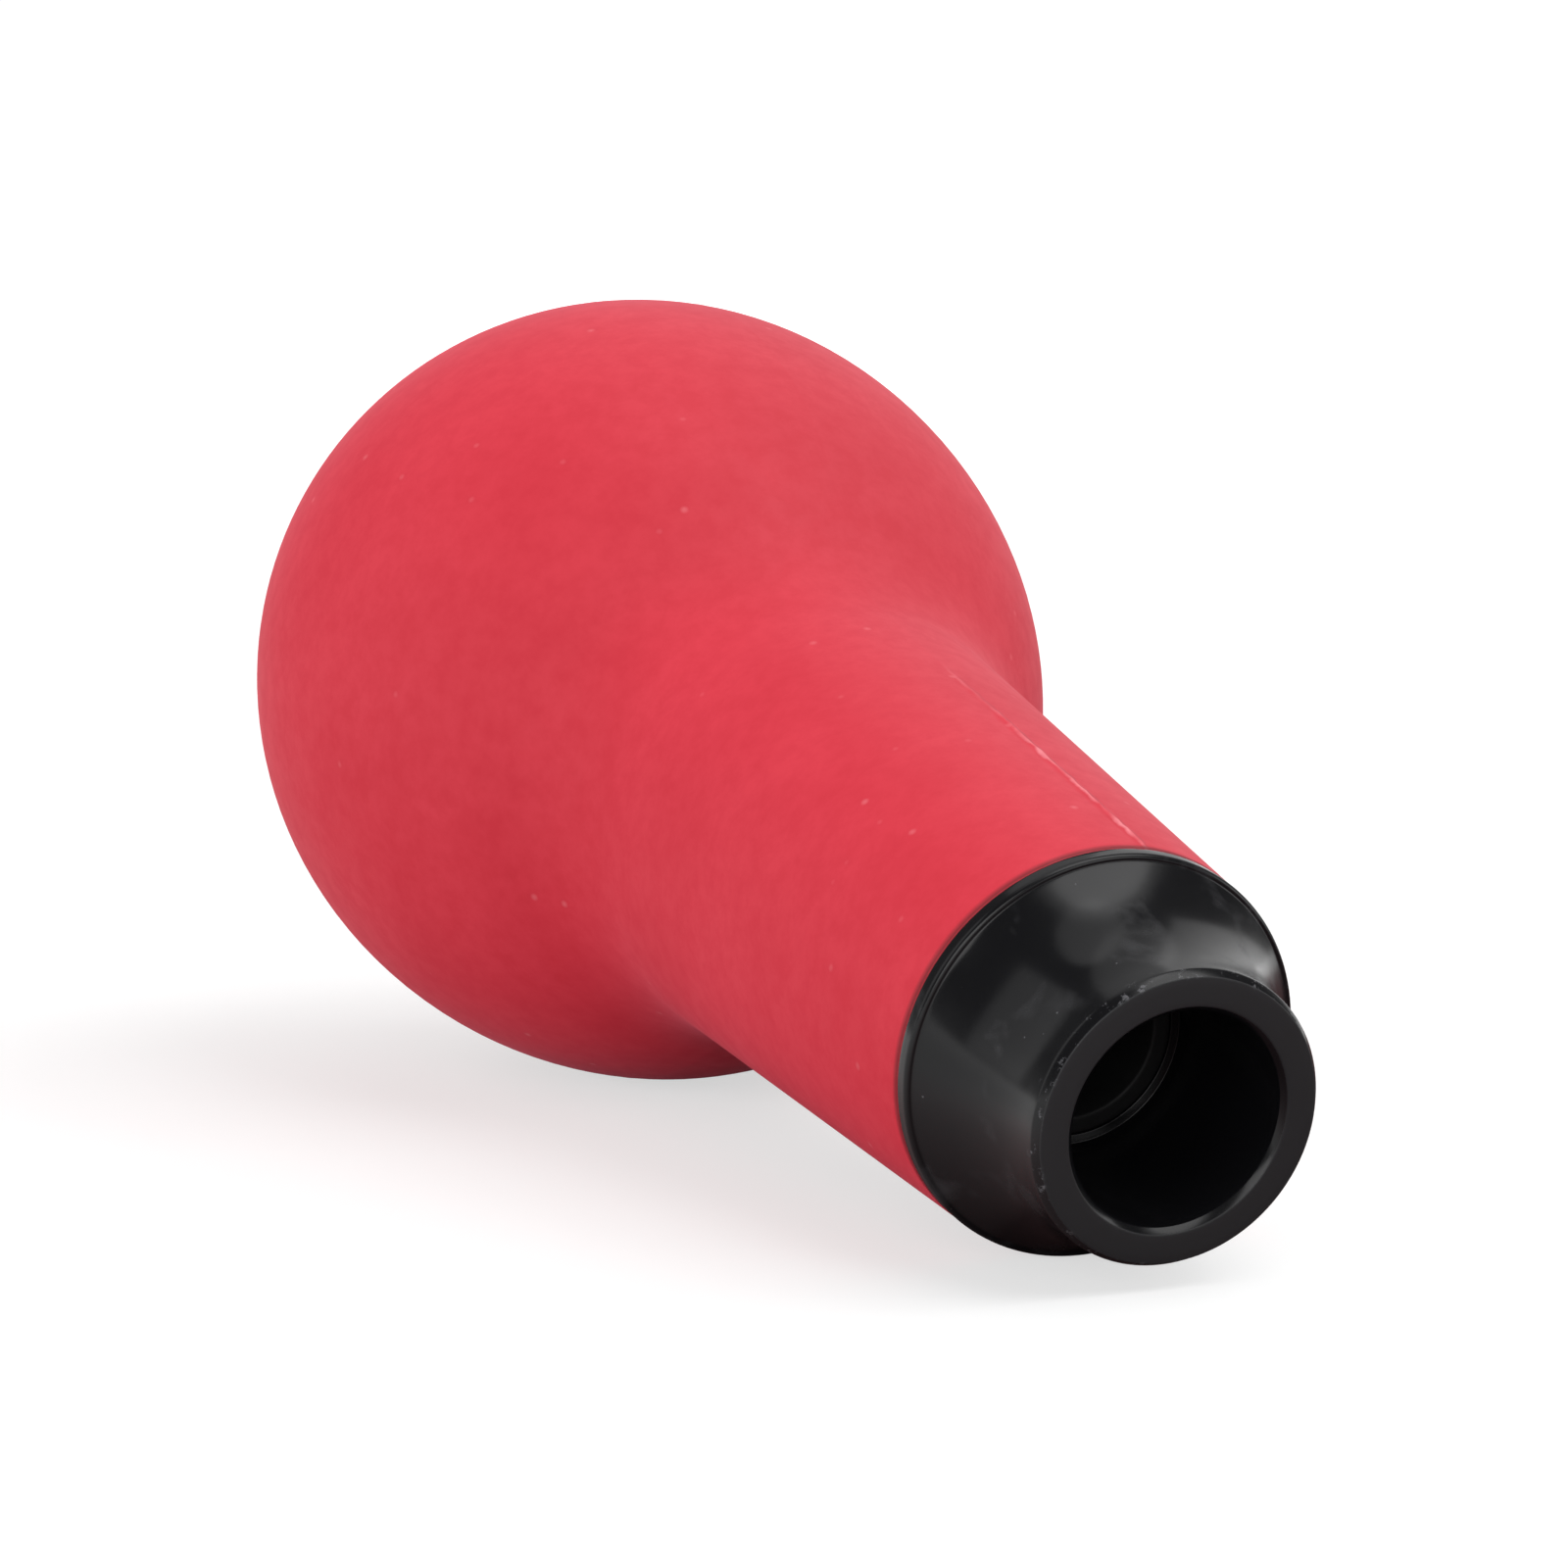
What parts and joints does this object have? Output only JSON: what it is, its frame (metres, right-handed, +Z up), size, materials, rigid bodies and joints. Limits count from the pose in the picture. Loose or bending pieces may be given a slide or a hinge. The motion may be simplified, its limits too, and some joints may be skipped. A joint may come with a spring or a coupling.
{
  "type": "pipette filler bulb",
  "caption": "Hand-squeezed rubber bulb with a tapered neck and a hard push-in nose whose bore and soft funnel seal take the top of a pipette.",
  "frame": {"origin": "centre of the overall box in x and y, on the surface that the bulb lies on", "axes": "+Y from the mouth towards the ball, level; +Z up; the bulb's own axis dips towards -Y, because the bulb lies on its ball and on the nose's rim"},
  "size_m": [0.054, 0.1117, 0.0543],
  "materials": {
    "red_rubber": "matt moulded natural rubber",
    "black_plastic": "polished moulded plastic",
    "seal_rubber": "satin moulded rubber"
  },
  "bodies": {
    "bulb": {"rubber_bulb": "red_rubber"},
    "nose": {"nose_adapter": "black_plastic"},
    "seal": {"soft_seal": "seal_rubber"}
  },
  "joints": [
    {"name": "nose_pull", "type": "slide", "parent": "bulb", "child": "nose", "axis": [0, -0.9793, -0.2023], "range_m": [0, 0.019]},
    {"name": "seal_pull", "type": "slide", "parent": "nose", "child": "seal", "axis": [0, -0.9793, -0.2023], "range_m": [0, 0.021]}
  ]
}
